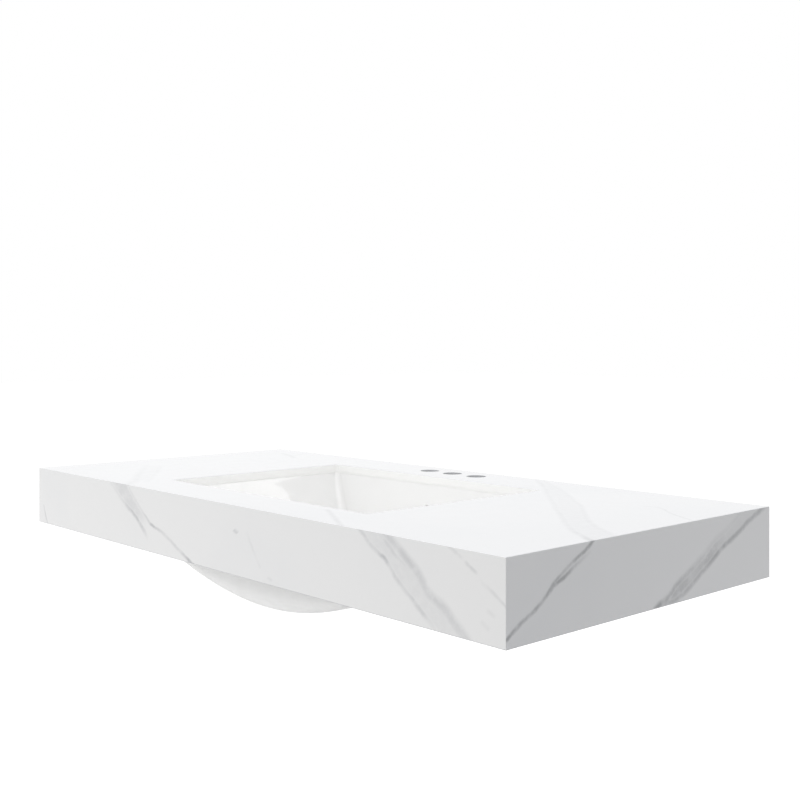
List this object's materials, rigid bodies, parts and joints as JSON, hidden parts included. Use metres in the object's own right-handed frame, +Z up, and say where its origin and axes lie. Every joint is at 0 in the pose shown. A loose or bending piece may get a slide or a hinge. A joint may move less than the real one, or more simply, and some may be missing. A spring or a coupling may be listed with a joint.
{
  "type": "vanity top with basin",
  "caption": "Wall-hung bathroom vanity top of mitred stone boards with a deep apron, an undermount china basin in a rectangular cut-out, and tap holes behind it.",
  "frame": {"origin": "on the wall face of the back rail, on the centre line and halfway down the apron", "axes": "+X along the wall to the right of a person at the basin, +Y into the wall, +Z up"},
  "size_m": [1.186, 0.562, 0.1911],
  "materials": {
    "stone": "polished white stone with grey veins",
    "china": "gloss white glaze",
    "silicone": "matt white silicone",
    "steel": "zinc plated",
    "brass": "plain"
  },
  "bodies": {
    "root": {"top_slab": "stone", "front_apron": "stone", "left_apron": "stone", "right_apron": "stone", "back_rail": "stone", "front_batten": "stone", "left_batten": "stone", "right_batten": "stone", "basin": "china", "basin_seal": "silicone", "clip_anchor_1": "brass", "clip_stud_1": "steel", "basin_clip_1": "steel", "wing_nut_1": "steel", "clip_anchor_2": "brass", "clip_stud_2": "steel", "basin_clip_2": "steel", "wing_nut_2": "steel", "clip_anchor_3": "brass", "clip_stud_3": "steel", "basin_clip_3": "steel", "wing_nut_3": "steel", "clip_anchor_4": "brass", "clip_stud_4": "steel", "basin_clip_4": "steel", "wing_nut_4": "steel", "clip_anchor_5": "brass", "clip_stud_5": "steel", "basin_clip_5": "steel", "wing_nut_5": "steel", "clip_anchor_6": "brass", "clip_stud_6": "steel", "basin_clip_6": "steel", "wing_nut_6": "steel", "wall_bracket_left": "steel", "wall_bracket_right": "steel", "bracket_insert_1": "brass", "bracket_bolt_1": "steel", "bracket_insert_2": "brass", "bracket_bolt_2": "steel", "bracket_insert_3": "brass", "bracket_bolt_3": "steel", "bracket_insert_4": "brass", "bracket_bolt_4": "steel"}
  },
  "joints": []
}
